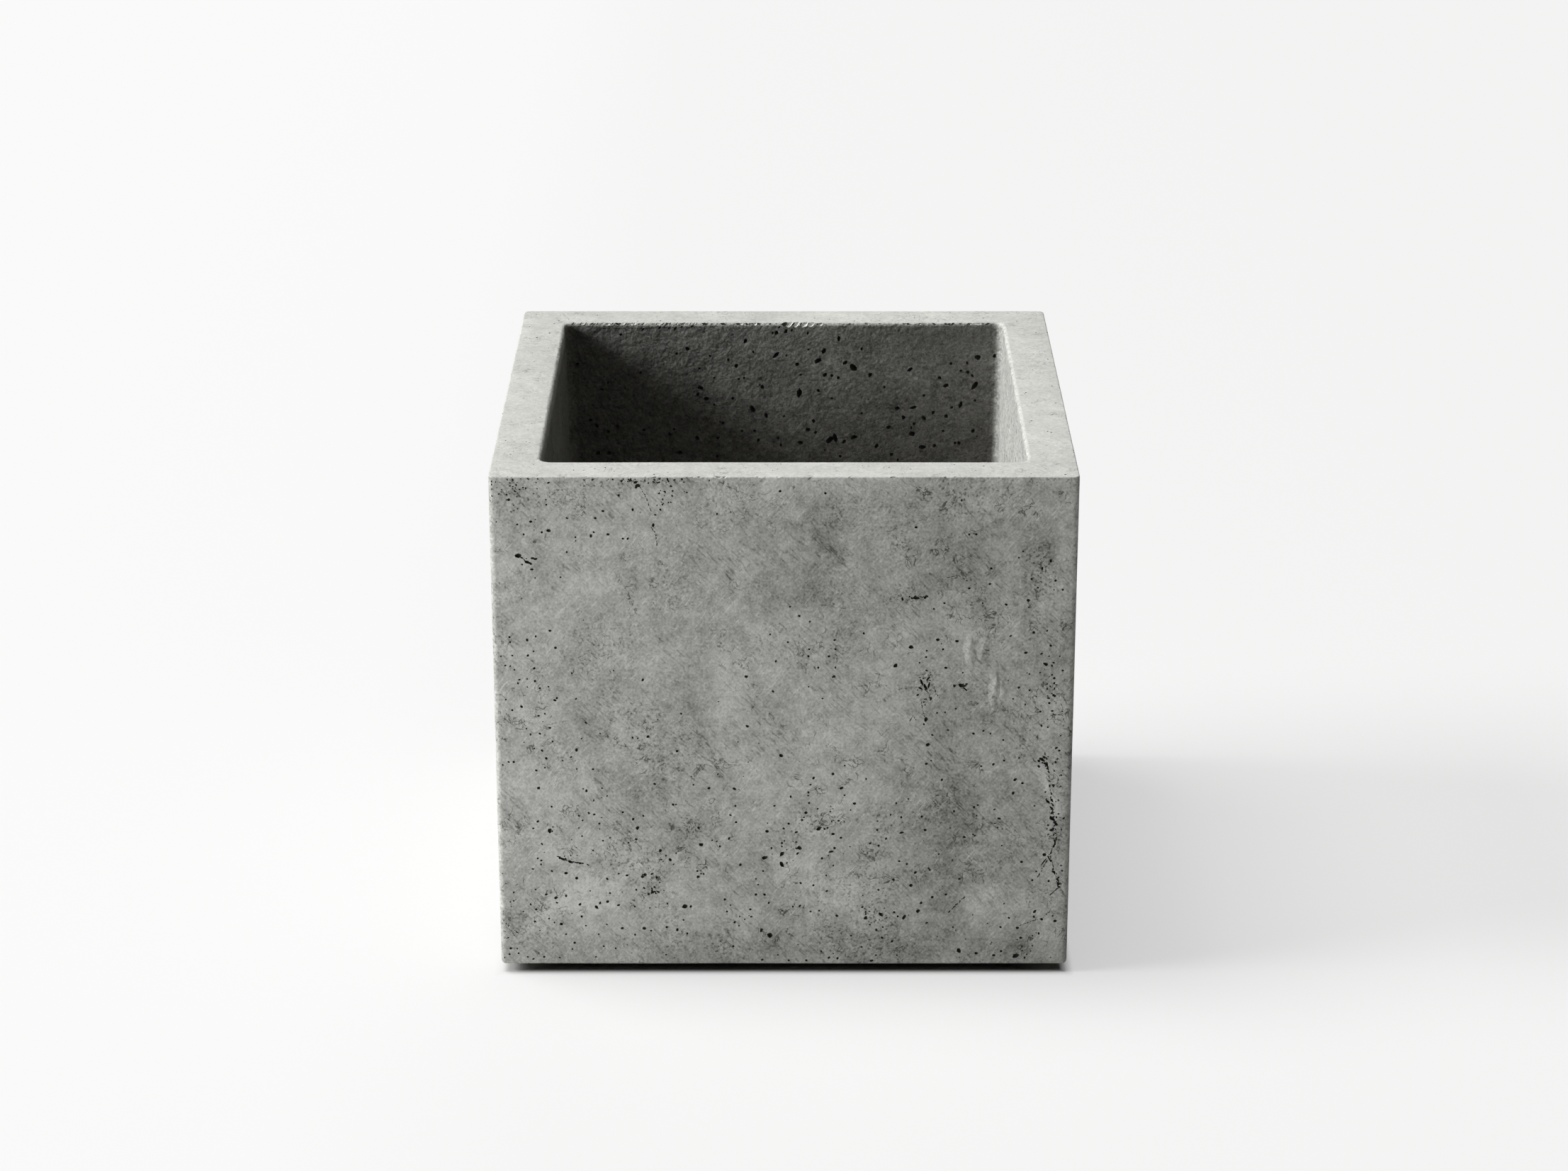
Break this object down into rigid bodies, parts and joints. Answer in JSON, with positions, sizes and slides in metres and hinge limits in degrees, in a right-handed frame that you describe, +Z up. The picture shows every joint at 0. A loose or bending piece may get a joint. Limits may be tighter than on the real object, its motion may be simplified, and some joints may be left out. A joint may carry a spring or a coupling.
{
  "type": "concrete planter",
  "caption": "Open-topped square planter cast in concrete, with thick walls, a flat rim, a plugged drain in its floor and low screwed feet that hold it just clear of the ground.",
  "frame": {"origin": "on the ground, under the middle of the planter, level with the soles of the feet", "axes": "+Z up, -Y towards the front, +X to the right as seen from the front"},
  "size_m": [0.4, 0.4, 0.37],
  "materials": {
    "concrete": "matte",
    "cage_wire": "satin",
    "sleeve_plastic": "satin",
    "screen_plastic": "satin",
    "plug_rubber": "matte",
    "foot_rubber": "matte",
    "socket_steel": "satin",
    "fastener_steel": "satin"
  },
  "bodies": {
    "tub": {"concrete_tub": "concrete", "hoop_1": "cage_wire", "hoop_2": "cage_wire", "hoop_3": "cage_wire", "hoop_4": "cage_wire", "side_bar_1": "cage_wire", "side_bar_2": "cage_wire", "side_bar_3": "cage_wire", "side_bar_4": "cage_wire", "front_bar_1": "cage_wire", "front_bar_2": "cage_wire", "front_bar_3": "cage_wire", "front_bar_4": "cage_wire", "drain_sleeve": "sleeve_plastic", "drain_screen": "screen_plastic", "foot_front_left": "foot_rubber", "foot_front_right": "foot_rubber", "foot_rear_left": "foot_rubber", "foot_rear_right": "foot_rubber", "foot_sockets": "socket_steel", "foot_washers": "fastener_steel", "foot_screws": "fastener_steel"},
    "plug": {"drain_plug": "plug_rubber"}
  },
  "joints": [
    {"name": "plug_lift", "type": "slide", "parent": "tub", "child": "plug", "axis": [0, 0, 1], "range_m": [0, 0.36]}
  ]
}
